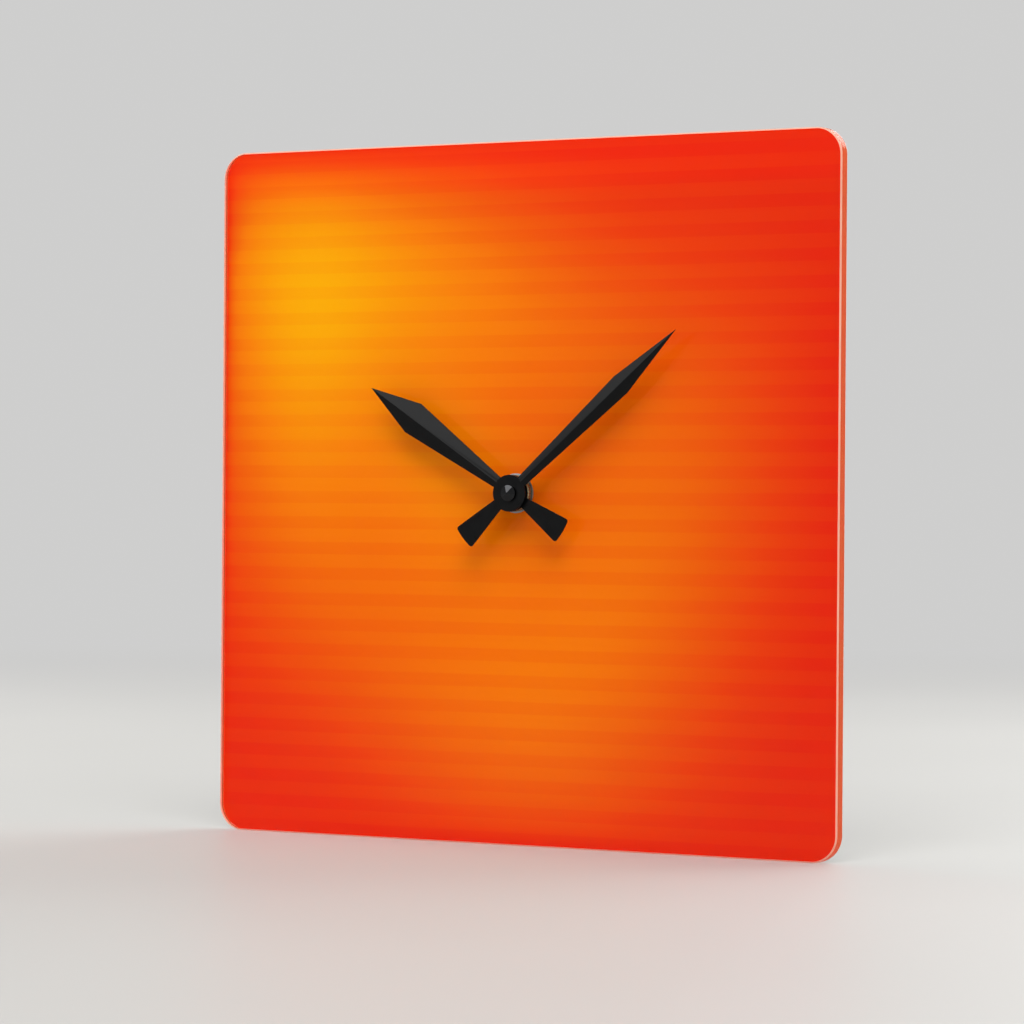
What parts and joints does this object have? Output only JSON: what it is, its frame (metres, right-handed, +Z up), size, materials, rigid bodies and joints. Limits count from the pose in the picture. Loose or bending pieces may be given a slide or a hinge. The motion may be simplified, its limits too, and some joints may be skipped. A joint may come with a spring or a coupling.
{
  "type": "wall clock",
  "caption": "Square clear acrylic wall clock with a striped orange print behind the face, two black creased hands, and a battery quartz movement with a steel hanger at the back.",
  "frame": {"origin": "on the hands' axis, in the plane of the wall: the rear face of the movement's cover", "axes": "+Y towards the wall, -Y out of the face to the viewer, +Z up to twelve o'clock, +X right as seen from the front"},
  "size_m": [0.2032, 0.028, 0.2032],
  "materials": {
    "clear_acrylic": "clear, polished edges",
    "orange_print": "striped print behind the acrylic",
    "white_film": "matt",
    "black_rubber": "matt",
    "zinc_steel": "zinc plated",
    "brass": "turned",
    "black_moulding": "fine spark texture",
    "knob_plastic": "smooth",
    "grey_moulding": "smooth",
    "hand_lacquer": "satin black lacquer",
    "black_nickel": "black nickel",
    "natural_acetal": "natural",
    "turned_steel": "turned",
    "dark_magnet": "ground",
    "soft_iron": "stamped",
    "bobbin_plastic": "smooth",
    "copper_wire": "enamelled wire",
    "board_laminate": "brown laminate",
    "black_resin": "cast resin drop",
    "crystal_can": "bright can",
    "contact_steel": "nickel plated",
    "cell_wrap": "plain printed sleeve"
  },
  "bodies": {
    "movement": {"face_panel": "clear_acrylic", "print_film": "orange_print", "white_backing": "white_film", "rubber_gasket": "black_rubber", "hanger_plate": "zinc_steel", "flat_washer": "zinc_steel", "threaded_neck": "brass", "centre_nut": "brass", "front_case": "black_moulding", "rear_cover": "black_moulding", "middle_plate": "grey_moulding", "stator_plate": "soft_iron", "coil_core": "soft_iron", "coil_bobbin": "bobbin_plastic", "coil_winding": "copper_wire", "circuit_board": "board_laminate", "timing_chip": "black_resin", "quartz_crystal": "crystal_can", "positive_contact": "contact_steel", "negative_contact": "contact_steel"},
    "minute_set": {"minute_hand": "hand_lacquer", "hand_cap_nut": "black_nickel", "minute_arbor": "turned_steel", "friction_spring": "turned_steel"},
    "hour_set": {"hour_hand": "hand_lacquer", "hour_wheel": "natural_acetal"},
    "motion_set": {"motion_wheel": "natural_acetal"},
    "setting_set": {"setting_pinion": "natural_acetal", "setting_knob": "knob_plastic"},
    "seconds_set": {"seconds_wheel": "natural_acetal"},
    "rotor_set": {"rotor_pinion": "natural_acetal", "rotor_magnet": "dark_magnet"},
    "intermediate_set": {"intermediate_wheel": "natural_acetal"},
    "third_set": {"third_wheel": "natural_acetal"},
    "centre_set": {"centre_wheel": "natural_acetal"},
    "battery": {"aa_battery": "cell_wrap"}
  },
  "joints": [
    {"name": "minute_hand_turn", "type": "hinge", "parent": "movement", "child": "minute_set", "pos_m": [0, 0, 0], "axis": [0, 1, 0], "continuous": true},
    {"name": "hour_hand_turn", "type": "hinge", "parent": "movement", "child": "hour_set", "pos_m": [0, 0, 0], "axis": [0, 1, 0], "continuous": true},
    {"name": "motion_wheel_turn", "type": "hinge", "parent": "movement", "child": "motion_set", "pos_m": [0.00689, 0, 0.00579], "axis": [0, 1, 0], "continuous": true},
    {"name": "setting_knob_turn", "type": "hinge", "parent": "movement", "child": "setting_set", "pos_m": [0.01268, 0, -0.00111], "axis": [0, 1, 0], "continuous": true},
    {"name": "seconds_wheel_turn", "type": "hinge", "parent": "movement", "child": "seconds_set", "pos_m": [0, 0, 0], "axis": [0, 1, 0], "continuous": true},
    {"name": "rotor_turn", "type": "hinge", "parent": "movement", "child": "rotor_set", "pos_m": [0.008, 0, 0.01064], "axis": [0, 1, 0], "continuous": true},
    {"name": "intermediate_wheel_turn", "type": "hinge", "parent": "movement", "child": "intermediate_set", "pos_m": [0.0036, 0, 0.00624], "axis": [0, 1, 0], "continuous": true},
    {"name": "third_wheel_turn", "type": "hinge", "parent": "movement", "child": "third_set", "pos_m": [-0.00687, 0, 0.00121], "axis": [0, 1, 0], "continuous": true},
    {"name": "centre_wheel_turn", "type": "hinge", "parent": "movement", "child": "centre_set", "pos_m": [0, 0, 0], "axis": [0, 1, 0], "continuous": true},
    {"name": "battery_lift_out", "type": "slide", "parent": "movement", "child": "battery", "axis": [0, 1, 0], "range_m": [0, 0.0155]}
  ],
  "couplings": [
    {"joint": "hour_hand_turn", "follows": "minute_hand_turn", "ratio": 0.083333},
    {"joint": "motion_wheel_turn", "follows": "minute_hand_turn", "ratio": -0.33333},
    {"joint": "setting_knob_turn", "follows": "minute_hand_turn", "ratio": 1},
    {"joint": "rotor_turn", "follows": "seconds_wheel_turn", "ratio": 30},
    {"joint": "intermediate_wheel_turn", "follows": "seconds_wheel_turn", "ratio": -5},
    {"joint": "third_wheel_turn", "follows": "seconds_wheel_turn", "ratio": -0.13333},
    {"joint": "centre_wheel_turn", "follows": "seconds_wheel_turn", "ratio": 0.016667}
  ]
}
